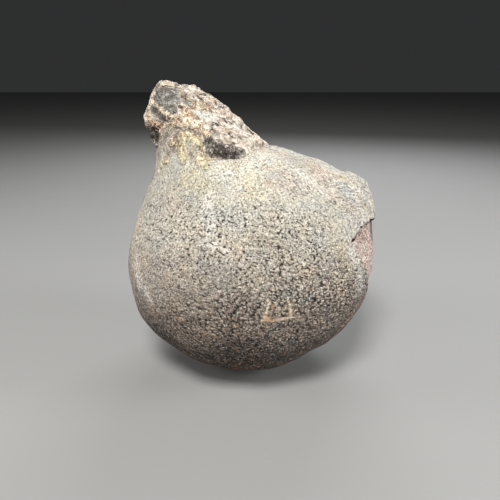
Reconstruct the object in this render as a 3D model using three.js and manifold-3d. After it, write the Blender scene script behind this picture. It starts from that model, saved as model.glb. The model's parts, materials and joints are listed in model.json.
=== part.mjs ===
// Crinoid lobolite (the bulbous float of a Silurian crinoid), with the lump of
// limestone that still clings to its neck. One stone, so one closed solid.
// Millimetres, +Z up, resting on its flat worn spot at z = 0.
import * as THREE from 'three';
import { mergeVertices } from 'three/addons/utils/BufferGeometryUtils.js';
import { ImprovedNoise } from 'three/addons/math/ImprovedNoise.js';
import Module from 'manifold-3d';

const wasm = await Module();
wasm.setup();

// ---------------------------------------------------------------- dimensions
// Centre of the bulb above the surface it rests on.
const BULB_CENTRE = new THREE.Vector3(0, 0, 57);
// Outline radii of the bulb and neck, every 10 degrees round the broad side,
// counted from +X towards the neck.
const OUTLINE_RADII = [
  61.6, 62.4, 64.0, 64.3, 58.6, 55.8, 53.1, 52.4, 52.8, 58.4, 66.9, 75.8,
  77.7, 69.3, 60.6, 58.0, 56.9, 57.2, 58.3, 59.3, 59.9, 60.6, 60.4, 60.2,
  60.1, 59.6, 58.9, 58.8, 58.9, 58.0, 57.3, 58.8, 59.6, 60.1, 61.6, 61.6,
];
const OUTLINE_TILT = 19.9; // degrees the broad side leans back from upright
const FRONT_RADIUS = 54; // from the centre to the front
const BACK_RADIUS = 53; // from the centre to the back
const BULB_FULLNESS = 2.12; // 2 is an ellipse, more is squarer
const NECK_SLIMMING = 0.62; // how much less full the neck is
const NECK_ANGLE = 117; // where the neck leaves the outline, degrees
const NECK_SPREAD = 34;
const SHELL_THICKNESS = 1.6; // of the plated wall where it is broken away
const REST_CUT = 0.6; // depth of the worn spot it stands on
const WAVINESS = 0.75; // height of the broad swellings of the wall

// The broken window in the wall, as y, z corners seen from the right.
const WINDOW = [
  [-24.6, 78.2], [-28.8, 78.7], [-31.5, 76.6], [-37.4, 74.0], [-36.6, 69.6],
  [-34.3, 64.8], [-32.6, 60.6], [-31.0, 56.5], [-28.4, 50.0], [-23.7, 43.5],
  [-21.0, 38.5], [-17.5, 33.0], [-15.8, 26.5], [-9.5, 22.0], [-3.0, 17.5],
  [5.5, 18.5], [12.0, 15.0], [21.0, 19.5], [27.5, 27.0], [34.5, 29.0],
  [37.5, 38.0], [43.0, 44.5], [41.5, 53.0], [45.0, 61.0], [39.0, 68.0],
  [35.5, 76.5], [27.0, 79.0], [19.5, 84.5], [11.0, 82.0], [3.5, 79.5],
  [-4.0, 76.6], [-10.8, 75.6], [-17.5, 77.4],
];

const noise = new ImprovedNoise();
const grain = (x, y, z, seed) => noise.noise(x + seed * 7.31, y - seed * 3.17, z + seed * 5.53);

// ---------------------------------------------------------------- the bulb
const toViewer = new THREE.Vector3(0, -Math.cos(THREE.MathUtils.degToRad(OUTLINE_TILT)), Math.sin(THREE.MathUtils.degToRad(OUTLINE_TILT)));
const across = new THREE.Vector3(1, 0, 0);
const upwards = new THREE.Vector3().crossVectors(across, toViewer).negate();

function outlineRadius(degrees) {
  const n = OUTLINE_RADII.length;
  const u = (((degrees % 360) + 360) % 360) / (360 / n);
  const i = Math.floor(u);
  const t = u - i;
  const [a, b, c, d] = [-1, 0, 1, 2].map((k) => OUTLINE_RADII[(i + k + n) % n]);
  return 0.5 * (2 * b + (c - a) * t + (2 * a - 5 * b + 4 * c - d) * t * t + (3 * b - a - 3 * c + d) * t * t * t);
}

function bulbRadius(dir, inset) {
  const t = dir.dot(toViewer);
  const a = dir.dot(across);
  const b = dir.dot(upwards);
  const flat = Math.hypot(a, b);
  const angle = THREE.MathUtils.radToDeg(Math.atan2(b, a));
  const fromNeck = Math.abs(((angle - NECK_ANGLE + 540) % 360) - 180);
  const power = BULB_FULLNESS - NECK_SLIMMING * Math.exp(-((fromNeck / NECK_SPREAD) ** 2));
  const wide = outlineRadius(angle) - inset;
  const deep = (t > 0 ? FRONT_RADIUS : BACK_RADIUS) - inset;
  let r = 1 / Math.pow(Math.pow(flat / wide, power) + Math.pow(Math.abs(t) / deep, power), 1 / power);
  // Broad swellings, kept off the outline of the broad side.
  const calm = 0.25 + 0.75 * Math.min(1, Math.abs(t) * 1.6);
  r += WAVINESS * calm * 2 * grain((dir.x * r) / 19, (dir.y * r) / 19, (dir.z * r) / 19, 1);
  // Three shallow furrows between the lobes at the back.
  if (t < 0.1) {
    const round = Math.atan2(dir.x, dir.y);
    for (const at of [-1.15, -0.25, 0.75]) {
      const off = Math.abs(round - at - 0.18 * Math.sin(dir.z * 3 + at * 4));
      r -= 2.1 * Math.exp(-((off / 0.13) ** 2)) * THREE.MathUtils.smoothstep(-t, -0.1, 0.45) * THREE.MathUtils.smoothstep(0.85 - Math.abs(dir.z), 0, 0.4);
    }
  }
  return r;
}

// The neck is drawn forward, so that it stands over the bulb.
const neckLean = (z) => {
  const high = Math.max(0, z - 62);
  return (0.0042 * high * high) / (1 + high * 0.012);
};

function bulbPoint(dir, inset) {
  const p = dir.clone().multiplyScalar(bulbRadius(dir, inset)).add(BULB_CENTRE);
  p.y -= neckLean(p.z);
  return p;
}

// How far a point is outside the bulb's skin (minus inside).
function outsideBulb(p) {
  const q = new THREE.Vector3(p.x, p.y + neckLean(p.z), p.z).sub(BULB_CENTRE);
  const far = q.length();
  return far - bulbRadius(q.divideScalar(far), 0);
}

function ball(detail) {
  const g = new THREE.IcosahedronGeometry(1, detail);
  g.deleteAttribute('normal');
  g.deleteAttribute('uv');
  return mergeVertices(g, 1e-5);
}

function shapeBall(detail, place) {
  const g = ball(detail);
  const pos = g.getAttribute('position');
  const dir = new THREE.Vector3();
  for (let i = 0; i < pos.count; i++) {
    dir.fromBufferAttribute(pos, i).normalize();
    const p = place(dir);
    pos.setXYZ(i, p.x, p.y, p.z);
  }
  return g;
}

// ---------------------------------------------------------------- clinging rock
// Smooth joins of two distances over a width k.
const joined = (a, b, k) => {
  const h = Math.max(k - Math.abs(a - b), 0) / k;
  return Math.min(a, b) - (h * h * k) / 4;
};
const common = (a, b, k) => -joined(-a, -b, k);

// A block bounded by flat broken faces, each a normal and its distance from
// the block's centre, with its edges worn to a width of `worn`.
function block(p, centre, faces, worn) {
  const x = p.x - centre[0];
  const y = p.y - centre[1];
  const z = p.z - centre[2];
  let d = -1e9;
  for (const [nx, ny, nz, h] of faces) d = common(d, (nx * x + ny * y + nz * z) / Math.hypot(nx, ny, nz) - h, worn);
  return d;
}

function pebble(p, centre, radii) {
  const x = (p.x - centre[0]) / radii[0];
  const y = (p.y - centre[1]) / radii[1];
  const z = (p.z - centre[2]) / radii[2];
  const k = Math.hypot(x, y, z);
  return (k - 1) * Math.min(...radii);
}

// Dark block that stands behind the neck's broken end.
const DARK_BLOCK = [
  [-0.28, -0.95, 0.1, 10.4], [-0.93, 0, 0.37, 11.2], [-0.99, 0.1, -0.12, 11.4], [-0.62, -0.1, 0.78, 15.0],
  [0.3, 0.1, 0.95, 13.4], [-0.25, 0.9, 0.35, 14.5], [0.4, 0.85, 0, 15.5], [0.9, -0.3, 0.3, 10.5], [-0.1, -0.55, -0.83, 11.5], [0, 0, -1, 13],
];
// Slab under it, that hangs down past the neck on the left.
const HANGING_SLAB = [
  [-0.96, -0.2, -0.2, 7.7], [-0.35, -0.93, 0.1, 8.6], [-0.5, -0.2, -0.84, 8.6], [0, 0, 1, 6], [0, 1, 0.15, 12], [1, 0, 0, 14], [0.1, 0.3, -0.95, 10],
];
// Ridge from the block down to the right, its front face sloping to the neck.
const RIDGE = [
  [0.56, 0.05, 0.83, 11.7], [0.7, 0.05, 0.71, 12.2], [0.42, -0.62, 0.66, 10.3], [0.22, -0.93, 0.3, 15.0], [0.45, 0.75, 0.48, 13.5], [0.1, 0.99, 0, 16.5],
  [0.742, 0, -0.665, 29], [-0.742, 0, 0.665, 24], [-0.55, -0.4, -0.73, 13], [-0.3, 0.5, -0.8, 13],
];
// Ledge that overhangs the front of the neck.
const LEDGE = [
  [0.06, -0.9, -0.42, 9.3], [0.05, -0.55, -0.83, 8.3], [0.36, -0.5, 0.79, 4.4], [-0.93, -0.3, 0.1, 10.2], [0.85, -0.45, -0.2, 9.8],
  [0, 1, 0, 14], [0.2, 0.3, 0.93, 8],
];

function clingingRock(p) {
  // rounded end of the neck, where the wall laps up round the rock
  let d = joined(outsideBulb(p) + 0.5, pebble(p, [-28.0, -1.5, 107.6], [13.2, 13.2, 14.0]), 7);
  let rock = block(p, [-37.0, 8, 121.5], DARK_BLOCK, 2.4);
  rock = joined(rock, block(p, [-39.0, 8, 113.5], HANGING_SLAB, 2.4), 1.0);
  rock = joined(rock, block(p, [-14.5, 5, 114.0], RIDGE, 5), 5);
  rock = joined(rock, block(p, [-10.0, -20.0, 110.6], LEDGE, 2.6), 6);
  rock += 0.8 * grain(p.x / 7.5, p.y / 7.5, p.z / 7.5, 4);
  d = joined(d, rock, 1.6);
  // stop inside the bulb
  return common(d, pebble(p, [-19, -2, 110], [42, 34, 30]), 2);
}
const ROCK_FROM = [-63, -38, 76];
const ROCK_TO = [26, 34, 146];
const ROCK_CELL = 2.7;

// Closed mesh of the surface where `field` is zero, from one corner per
// crossed cell of a grid.
function skinOf(field, from, to, cell) {
  const n = from.map((a, i) => Math.ceil((to[i] - a) / cell) + 1);
  const at = (i, j, k) => i + n[0] * (j + n[1] * k);
  const value = new Float64Array(n[0] * n[1] * n[2]);
  const p = new THREE.Vector3();
  for (let k = 0; k < n[2]; k++) for (let j = 0; j < n[1]; j++) for (let i = 0; i < n[0]; i++) {
    value[at(i, j, k)] = field(p.set(from[0] + i * cell, from[1] + j * cell, from[2] + k * cell));
  }
  const corner = new Map();
  const xyz = [];
  for (let k = 0; k < n[2] - 1; k++) for (let j = 0; j < n[1] - 1; j++) for (let i = 0; i < n[0] - 1; i++) {
    const v = [];
    let mask = 0;
    for (let c = 0; c < 8; c++) {
      const f = value[at(i + (c & 1), j + ((c >> 1) & 1), k + (c >> 2))];
      v.push(f);
      if (f < 0) mask |= 1 << c;
    }
    if (mask === 0 || mask === 255) continue;
    let x = 0, y = 0, z = 0, count = 0;
    for (let c = 0; c < 8; c++) for (const bit of [1, 2, 4]) {
      const e = c | bit;
      if (e === c || v[c] < 0 === v[e] < 0) continue;
      const t = v[c] / (v[c] - v[e]);
      x += (c & 1) + (bit === 1 ? t : 0);
      y += ((c >> 1) & 1) + (bit === 2 ? t : 0);
      z += (c >> 2) + (bit === 4 ? t : 0);
      count++;
    }
    corner.set(at(i, j, k), xyz.length / 3);
    xyz.push(from[0] + (i + x / count) * cell, from[1] + (j + y / count) * cell, from[2] + (k + z / count) * cell);
  }
  // Two steps towards the surface, kept within the cell.
  const q = new THREE.Vector3();
  for (let s = 0; s < xyz.length; s += 3) {
    const home = [xyz[s], xyz[s + 1], xyz[s + 2]];
    for (let step = 0; step < 3; step++) {
      const f = field(q.set(xyz[s], xyz[s + 1], xyz[s + 2]));
      const e = 0.05;
      const g = [0, 1, 2].map((a) => {
        const w = [xyz[s], xyz[s + 1], xyz[s + 2]];
        w[a] += e;
        return (field(q.set(...w)) - f) / e;
      });
      const size = g[0] * g[0] + g[1] * g[1] + g[2] * g[2] + 1e-6;
      for (let a = 0; a < 3; a++) {
        xyz[s + a] -= (f * g[a]) / size;
        xyz[s + a] = Math.min(home[a] + cell * 0.3, Math.max(home[a] - cell * 0.3, xyz[s + a]));
      }
    }
  }
  const faces = [];
  for (let k = 1; k < n[2] - 1; k++) for (let j = 1; j < n[1] - 1; j++) for (let i = 1; i < n[0] - 1; i++) {
    const here = value[at(i, j, k)] < 0;
    [[1, 0, 0], [0, 1, 0], [0, 0, 1]].forEach((step, axis) => {
      const there = value[at(i + step[0], j + step[1], k + step[2])] < 0;
      if (here === there) return;
      const u = [[0, 1, 0], [0, 0, 1], [1, 0, 0]][axis];
      const w = [[0, 0, 1], [1, 0, 0], [0, 1, 0]][axis];
      const ring = [[0, 0], [1, 0], [1, 1], [0, 1]].map(([a, b]) => corner.get(at(i - a * u[0] - b * w[0], j - a * u[1] - b * w[1], k - a * u[2] - b * w[2])));
      const [a, b, c, d] = here ? ring : [...ring].reverse();
      faces.push(a, b, c, a, c, d);
    });
  }
  const g = new THREE.BufferGeometry();
  g.setAttribute('position', new THREE.BufferAttribute(new Float32Array(xyz), 3));
  g.setIndex(faces);
  return g;
}

// ---------------------------------------------------------------- solids
function toSolid(g) {
  const merged = mergeVertices(g, 1e-4);
  return new wasm.Manifold(new wasm.Mesh({
    numProp: 3,
    vertProperties: new Float32Array(merged.getAttribute('position').array),
    triVerts: new Uint32Array(merged.index.array),
  }));
}

// Bare geometry from any three.js geometry, with shared corners merged.
function bare(g) {
  const c = g.clone();
  for (const name of Object.keys(c.attributes)) if (name !== 'position') c.deleteAttribute(name);
  return mergeVertices(c, 1e-4);
}

// The window's cutter: its outline in y and z, pushed along X through the wall.
function windowCutter() {
  const shape = new THREE.Shape(WINDOW.map(([y, z]) => new THREE.Vector2(y, z)));
  const g = new THREE.ExtrudeGeometry(shape, { depth: 70, bevelEnabled: false, steps: 1 });
  // Shape x, y, depth become part y, z, x.
  g.applyMatrix4(new THREE.Matrix4().makeBasis(new THREE.Vector3(0, 1, 0), new THREE.Vector3(0, 0, 1), new THREE.Vector3(1, 0, 0)));
  g.translate(12, 0, 0);
  return bare(g);
}

function floorCutter() {
  const g = new THREE.BoxGeometry(120, 120, 20);
  g.translate(0, 0, -10);
  return bare(g);
}

const wall = toSolid(shapeBall(17, (d) => bulbPoint(d, 0)));
const filling = toSolid(shapeBall(10, (d) => bulbPoint(d, SHELL_THICKNESS)));
let stone = wall.subtract(toSolid(windowCutter())).add(filling);
stone = stone.add(toSolid(skinOf(clingingRock, ROCK_FROM, ROCK_TO, ROCK_CELL)));
const lowest = stone.boundingBox().min[2];
stone = stone.translate(0, 0, -lowest - REST_CUT).subtract(toSolid(floorCutter()));

// Centre the stone over the origin.
const box = stone.boundingBox();
stone = stone.translate(-(box.min[0] + box.max[0]) / 2, -(box.min[1] + box.max[1]) / 2, -box.min[2]);

function toGeometry(solid) {
  const m = solid.getMesh();
  const xyz = new Float32Array(m.numVert * 3);
  for (let i = 0; i < m.numVert; i++) for (let k = 0; k < 3; k++) xyz[i * 3 + k] = m.vertProperties[i * m.numProp + k];
  const g = new THREE.BufferGeometry();
  g.setAttribute('position', new THREE.BufferAttribute(xyz, 3));
  g.setIndex(new THREE.BufferAttribute(new Uint32Array(m.triVerts), 1));
  g.computeVertexNormals();
  return g;
}

const fossilStone = new THREE.MeshStandardMaterial({ color: 0xa8a094, roughness: 0.92, metalness: 0 });
const lobolite = new THREE.Mesh(toGeometry(stone), fossilStone);
lobolite.name = 'lobolite';

const part = new THREE.Group();
part.add(lobolite);
export default part;
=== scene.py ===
# Crinoid lobolite fossil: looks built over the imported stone.
import json
import math

import bpy
import bmesh
import numpy as np
from mathutils import Matrix, Vector

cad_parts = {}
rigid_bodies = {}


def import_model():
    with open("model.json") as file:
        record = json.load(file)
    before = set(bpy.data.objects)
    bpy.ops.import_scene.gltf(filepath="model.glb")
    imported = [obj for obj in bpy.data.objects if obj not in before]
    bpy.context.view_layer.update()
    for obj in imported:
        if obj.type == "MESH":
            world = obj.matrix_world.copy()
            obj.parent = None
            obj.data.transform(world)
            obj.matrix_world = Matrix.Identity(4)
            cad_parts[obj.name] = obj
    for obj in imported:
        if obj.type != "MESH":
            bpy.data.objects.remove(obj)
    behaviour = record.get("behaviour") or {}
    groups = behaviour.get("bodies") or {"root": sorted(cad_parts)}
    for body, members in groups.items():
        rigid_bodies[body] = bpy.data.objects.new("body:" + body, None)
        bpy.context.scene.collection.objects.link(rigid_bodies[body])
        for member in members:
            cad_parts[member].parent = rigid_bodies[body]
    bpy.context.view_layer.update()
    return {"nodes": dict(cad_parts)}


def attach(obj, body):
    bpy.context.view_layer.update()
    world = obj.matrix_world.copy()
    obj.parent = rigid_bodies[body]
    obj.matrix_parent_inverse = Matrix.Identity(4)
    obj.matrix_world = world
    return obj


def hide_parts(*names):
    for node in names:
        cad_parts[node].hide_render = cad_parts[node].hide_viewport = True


for left_over in list(bpy.data.objects):
    bpy.data.objects.remove(left_over)
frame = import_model()
stone = frame["nodes"]["lobolite"]

MM = 0.001
# The stone's own drawing frame (bulb centre over the origin) to the row frame.
SHIFT = np.array([-0.8563, 0.9289, 0.8379])
BULB = np.array([0.0, 0.0, 57.0]) + SHIFT

# ------------------------------------------------------------------ camera
camera_data = bpy.data.cameras.new("camera")
camera_data.sensor_width = 36.0
camera_data.lens = 18.0 / math.tan(math.radians(26.5))
camera_data.clip_start = 0.01
camera = bpy.data.objects.new("camera", camera_data)
camera.location = Vector(((0.0 + SHIFT[0]) * MM, (-235.0 + SHIFT[1]) * MM, (142.0 + SHIFT[2]) * MM))
camera.rotation_euler = (math.radians(90.0 - 20.0), 0.0, 0.0)
bpy.context.scene.collection.objects.link(camera)
bpy.context.scene.camera = camera


# ------------------------------------------------------------------ numbers
def smoothstep(a, b, x):
    t = np.clip((x - a) / (b - a), 0.0, 1.0)
    return t * t * (3.0 - 2.0 * t)


def hash01(ix, iy, iz, seed):
    h = (ix.astype(np.int64) * 73856093) ^ (iy.astype(np.int64) * 19349663) ^ (iz.astype(np.int64) * 83492791) ^ (seed * 2654435761)
    h &= 0xFFFFFFFF
    h = ((h ^ (h >> 15)) * 2246822519) & 0xFFFFFFFF
    h = ((h ^ (h >> 13)) * 3266489917) & 0xFFFFFFFF
    h ^= h >> 16
    return h.astype(np.float64) / 4294967295.0


def noise(p, size, seed=0):
    """Smooth noise from -1 to 1 with features about `size` wide."""
    q = p / size + seed * 17.13
    i = np.floor(q).astype(np.int64)
    f = q - i
    w = f * f * f * (f * (f * 6 - 15) + 10)
    out = np.zeros(len(p))
    for dx in (0, 1):
        for dy in (0, 1):
            for dz in (0, 1):
                ix, iy, iz = i[:, 0] + dx, i[:, 1] + dy, i[:, 2] + dz
                g = np.stack([hash01(ix, iy, iz, seed * 3 + k) * 2 - 1 for k in range(3)], 1)
                g /= np.linalg.norm(g, axis=1, keepdims=True) + 1e-9
                d = f - np.array([dx, dy, dz])
                k = (g * d).sum(1)
                wx = w[:, 0] if dx else 1 - w[:, 0]
                wy = w[:, 1] if dy else 1 - w[:, 1]
                wz = w[:, 2] if dz else 1 - w[:, 2]
                out += k * wx * wy * wz
    return out * 1.6


def fractal(p, size, octaves, seed=0, gain=0.5):
    out, amp, total = 0.0, 1.0, 0.0
    for o in range(octaves):
        out = out + noise(p, size / 2**o, seed + o) * amp
        total += amp
        amp *= gain
    return out / total


def cells(p, size, seed=0, jitter=0.9):
    """Distance to the nearest and second nearest of scattered seeds, in units of size, and the nearest's number."""
    q = p / size
    i = np.floor(q).astype(np.int64)
    best = np.full(len(p), 9.0)
    second = np.full(len(p), 9.0)
    mark = np.zeros(len(p))
    for dx in (-1, 0, 1):
        for dy in (-1, 0, 1):
            for dz in (-1, 0, 1):
                c = i + np.array([dx, dy, dz])
                s = np.stack([hash01(c[:, 0], c[:, 1], c[:, 2], seed * 5 + k) for k in range(3)], 1)
                d = np.linalg.norm(c + 0.5 + (s - 0.5) * jitter - q, axis=1)
                nearer = d < best
                second = np.where(nearer, best, np.minimum(second, d))
                mark = np.where(nearer, s[:, 0], mark)
                best = np.where(nearer, d, best)
    return best, second, mark


# ------------------------------------------------------------------ rock shape
def joined(a, b, k):
    h = np.maximum(k - np.abs(a - b), 0.0) / k
    return np.minimum(a, b) - h * h * k / 4


def block(p, centre, faces, worn):
    q = p - np.array(centre)
    d = np.full(len(p), -1e9)
    for nx, ny, nz, h in faces:
        n = np.array([nx, ny, nz]) / math.sqrt(nx * nx + ny * ny + nz * nz)
        d = -joined(-d, -(q @ n - h), worn)
    return d


DARK_BLOCK = [
    (-0.28, -0.95, 0.1, 10.4), (-0.93, 0, 0.37, 11.2), (-0.99, 0.1, -0.12, 11.4), (-0.62, -0.1, 0.78, 15.0),
    (0.3, 0.1, 0.95, 13.4), (-0.25, 0.9, 0.35, 14.5), (0.4, 0.85, 0, 15.5), (0.9, -0.3, 0.3, 10.5), (-0.1, -0.55, -0.83, 11.5), (0, 0, -1, 13),
]
HANGING_SLAB = [
    (-0.96, -0.2, -0.2, 7.7), (-0.35, -0.93, 0.1, 8.6), (-0.5, -0.2, -0.84, 8.6), (0, 0, 1, 6), (0, 1, 0.15, 12), (1, 0, 0, 14), (0.1, 0.3, -0.95, 10),
]
RIDGE = [
    (0.56, 0.05, 0.83, 11.7), (0.7, 0.05, 0.71, 12.2), (0.42, -0.62, 0.66, 10.3), (0.22, -0.93, 0.3, 15.0), (0.45, 0.75, 0.48, 13.5), (0.1, 0.99, 0, 16.5),
    (0.742, 0, -0.665, 29), (-0.742, 0, 0.665, 24), (-0.55, -0.4, -0.73, 13), (-0.3, 0.5, -0.8, 13),
]
LEDGE = [
    (0.06, -0.9, -0.42, 9.3), (0.05, -0.55, -0.83, 8.3), (0.36, -0.5, 0.79, 4.4), (-0.93, -0.3, 0.1, 10.2), (0.85, -0.45, -0.2, 9.8),
    (0, 1, 0, 14), (0.2, 0.3, 0.93, 8),
]


def rock_distance(p):
    """How far points (mm, drawing frame) are outside the clinging rock."""
    d = block(p, (-37.0, 8, 121.5), DARK_BLOCK, 2.4)
    d = joined(d, block(p, (-39.0, 8, 113.5), HANGING_SLAB, 2.4), 1.0)
    d = joined(d, block(p, (-14.5, 5, 114.0), RIDGE, 5), 5)
    return joined(d, block(p, (-10.0, -20.0, 110.6), LEDGE, 2.6), 6)


WINDOW = np.array([
    (-24.6, 78.2), (-28.8, 78.7), (-31.5, 76.6), (-37.4, 74.0), (-36.6, 69.6),
    (-34.3, 64.8), (-32.6, 60.6), (-31.0, 56.5), (-28.4, 50.0), (-23.7, 43.5),
    (-21.0, 38.5), (-17.5, 33.0), (-15.8, 26.5), (-9.5, 22.0), (-3.0, 17.5),
    (5.5, 18.5), (12.0, 15.0), (21.0, 19.5), (27.5, 27.0), (34.5, 29.0),
    (37.5, 38.0), (43.0, 44.5), (41.5, 53.0), (45.0, 61.0), (39.0, 68.0),
    (35.5, 76.5), (27.0, 79.0), (19.5, 84.5), (11.0, 82.0), (3.5, 79.5),
    (-4.0, 76.6), (-10.8, 75.6), (-17.5, 77.4),
])


def inside_window(p):
    """Millimetres inside the wall's broken window (minus outside)."""
    y, z = p[:, 1], p[:, 2]
    a = WINDOW
    b = np.roll(WINDOW, -1, 0)
    near = np.full(len(p), 1e9)
    odd = np.zeros(len(p), bool)
    for (ay, az), (by, bz) in zip(a, b):
        ey, ez = by - ay, bz - az
        t = np.clip(((y - ay) * ey + (z - az) * ez) / (ey * ey + ez * ez), 0, 1)
        near = np.minimum(near, np.hypot(y - ay - t * ey, z - az - t * ez))
        cross = (az > z) != (bz > z)
        odd ^= cross & (y < ey * (z - az) / (ez if abs(ez) > 1e-9 else 1e-9) + ay)
    d = np.where(odd, near, -near)
    return np.where(p[:, 0] > 12, d, -60.0)


def path_distance(p, points):
    near = np.full(len(p), 1e9)
    for a, b in zip(points[:-1], points[1:]):
        a, b = np.array(a, float), np.array(b, float)
        e = b - a
        t = np.clip(((p - a) @ e) / max(e @ e, 1e-9), 0, 1)
        near = np.minimum(near, np.linalg.norm(p - a - t[:, None] * e, axis=1))
    return near


# ------------------------------------------------------------------ meshes
def welded_copy(obj):
    m = bmesh.new()
    m.from_mesh(obj.data)
    bmesh.ops.remove_doubles(m, verts=m.verts, dist=1e-6)
    return m


def voxel_mesh(m, size):
    """Even quads over the closed mesh m: points in mm (drawing frame) and faces."""
    data = bpy.data.meshes.new("tmp")
    m.to_mesh(data)
    m.free()
    obj = bpy.data.objects.new("tmp", data)
    bpy.context.scene.collection.objects.link(obj)
    mod = obj.modifiers.new("remesh", "REMESH")
    mod.mode = "VOXEL"
    mod.voxel_size = size * MM
    mod.adaptivity = 0.0
    dg = bpy.context.evaluated_depsgraph_get()
    out = obj.evaluated_get(dg).to_mesh()
    co = np.empty(len(out.vertices) * 3)
    out.vertices.foreach_get("co", co)
    loops = np.empty(len(out.loops), np.int64)
    out.loops.foreach_get("vertex_index", loops)
    starts = np.empty(len(out.polygons), np.int64)
    out.polygons.foreach_get("loop_start", starts)
    totals = np.empty(len(out.polygons), np.int64)
    out.polygons.foreach_get("loop_total", totals)
    assert (totals == 4).all()
    quads = loops[starts[:, None] + np.arange(4)]
    obj.evaluated_get(dg).to_mesh_clear()
    bpy.data.objects.remove(obj)
    bpy.data.meshes.remove(data)
    return co.reshape(-1, 3) / MM - SHIFT, quads


def edges_of(quads):
    e = np.concatenate([quads[:, [0, 1]], quads[:, [1, 2]], quads[:, [2, 3]], quads[:, [3, 0]]])
    e = np.unique(np.sort(e, 1), axis=0)
    return e


def spread(values, e, count):
    """Mean of each point's neighbours."""
    out = np.empty_like(values)
    for k in range(values.shape[1]):
        out[:, k] = np.bincount(e[:, 0], values[e[:, 1], k], len(values)) + np.bincount(e[:, 1], values[e[:, 0], k], len(values))
    return out / count[:, None]


def smoothed(v, e, weight, rounds):
    count = np.maximum(np.bincount(e[:, 0], minlength=len(v)) + np.bincount(e[:, 1], minlength=len(v)), 1).astype(float)
    for _ in range(rounds):
        for k in (0.55, -0.57):
            v = v + (spread(v, e, count) - v) * (k * weight)[:, None]
    return v


def normals_of(v, quads):
    n = np.cross(v[quads[:, 2]] - v[quads[:, 0]], v[quads[:, 3]] - v[quads[:, 1]])
    out = np.zeros_like(v)
    for k in range(3):
        for c in range(4):
            out[:, k] += np.bincount(quads[:, c], n[:, k], len(v))
    return out / (np.linalg.norm(out, axis=1, keepdims=True) + 1e-12)


def make_piece(name, v, quads, fields):
    data = bpy.data.meshes.new(name)
    data.from_pydata(((v + SHIFT) * MM).tolist(), [], quads.tolist())
    data.polygons.foreach_set("use_smooth", np.ones(len(quads), bool))
    for key, value in fields.items():
        data.attributes.new(key, "FLOAT", "POINT").data.foreach_set("value", value.astype(np.float32))
    data.update()
    obj = bpy.data.objects.new(name, data)
    bpy.context.scene.collection.objects.link(obj)
    return obj


def keep_faces(v, quads, keep, *arrays):
    quads = quads[keep]
    used = np.unique(quads)
    back = np.full(len(v), -1)
    back[used] = np.arange(len(used))
    return (v[used], back[quads]) + tuple(a[used] for a in arrays)


# ------------------------------------------------------------------ where things are
def strokes(p, marks):
    """1 along the nearest stroke, 0 at its edge and down to -1 beyond; a stroke is its reach and the points it runs through."""
    out = np.full(len(p), -1.0)
    for reach, points in marks:
        out = np.maximum(out, 1.0 - path_distance(p, points if len(points) > 1 else points * 2) / reach)
    return np.maximum(out, -1.0)


SLATE = [
    (4.0, [(-40.1, -0.8, 130.3), (-35.3, -3.1, 130.5)]),
    (4.5, [(-40.8, -0.2, 127.7), (-34.6, -5.5, 127.6)]),
    (2.8, [(-36.9, -6.5, 124.7), (-33.7, -9.9, 124.6)]),
    (2.1, [(-27.8, -5.8, 128.1), (-26.1, -5.9, 126.8)]),
    (2.8, [(-43.4, 0.7, 124.6), (-40.2, -3.3, 122.8), (-37.9, -6.8, 121.3)]),
    (5.0, [(-40.0, 20.0, 118.0), (-32.0, 22.0, 122.0)]),
    (4.0, [(-6.0, 17.0, 117.0), (-2.0, 20.0, 113.0)]),
    (2.4, [(-20.0, 12.0, 127.0)]),
]
# dark rock; under the hanging slab and the ledge it also stands for painted shadow
DARK_ROCK_AND_SHADE = [
    (5.1, [(-46.6, 1.8, 114.3), (-45.2, 4.9, 109.8)]),
    (2.9, [(-17.5, -26.8, 114.4), (-15.0, -28.0, 113.0)]),
    (4.6, [(-14.5, -30.0, 111.7), (-10.9, -29.5, 110.4), (-7.7, -28.3, 109.4)]),
    (2.5, [(-7.7, -27.7, 110.5), (-4.0, -25.3, 109.5)]),
    (1.7, [(-18.0, -24.6, 116.2), (-18.4, -26.6, 113.2)]),
    (1.5, [(-45.0, -0.9, 116.8), (-43.0, -0.6, 116.4), (-41.5, -1.6, 116.0)]),
    (1.0, [(-30.8, -8.4, 126.1), (-29.5, -8.8, 125.7)]),
    (0.8, [(-28.9, -4.7, 129.5), (-28.5, -4.8, 129.1)]),
    (0.8, [(-21.9, -0.6, 128.6), (-21.4, -0.7, 128.2)]),
    (0.9, [(-14.8, -9.9, 118.7), (-14.3, -10.1, 118.3)]),
    (0.9, [(-11.1, -3.9, 119.3), (-10.6, -4.2, 118.9)]),
    (1.0, [(-25.8, -13.5, 117.3), (-24.5, -13.8, 117.8)]),
    (0.9, [(-32.8, -10.6, 123.8), (-31.9, -11.2, 123.0)]),
    (0.8, [(-16.6, -21.4, 118.2), (-15.7, -21.5, 117.8)]),
    (3.0, [(-40.0, 22.0, 110.0), (-34.0, 24.0, 108.0)]),
    (1.6, [(-12.0, 20.0, 121.0), (-8.0, 22.0, 119.0)]),
]
RUST = [
    (2.1, [(-46.3, -0.7, 119.0), (-42.6, -1.4, 117.3)]),
    (1.5, [(-41.1, -1.5, 116.0), (-38.9, -4.3, 118.5)]),
    (1.8, [(-28.6, -9.5, 124.1), (-26.1, -9.1, 123.3)]),
    (0.9, [(-29.4, -4.1, 130.1), (-27.3, -4.2, 129.0), (-24.2, -4.5, 127.1), (-24.9, -6.9, 125.2), (-28.6, -8.5, 125.7)]),
    (1.3, [(-21.4, -1.2, 127.8), (-17.8, -1.5, 125.7), (-16.1, -0.8, 124.7)]),
    (1.1, [(-11.7, -18.3, 117.9), (-8.4, -18.2, 116.6)]),
    (1.1, [(-40.5, -2.9, 114.8), (-39.8, -6.0, 113.0)]),
    (1.0, [(-21.8, -21.0, 112.4), (-19.9, -24.8, 110.1)]),
    (3.4, [(-32.0, 24.0, 118.0), (-24.0, 24.0, 114.0)]),
    (3.0, [(-9.0, 20.0, 117.0), (0.0, 20.0, 111.0)]),
    (1.6, [(24.0, 22.0, 104.0), (34.0, 20.0, 99.0)]),
]
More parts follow.
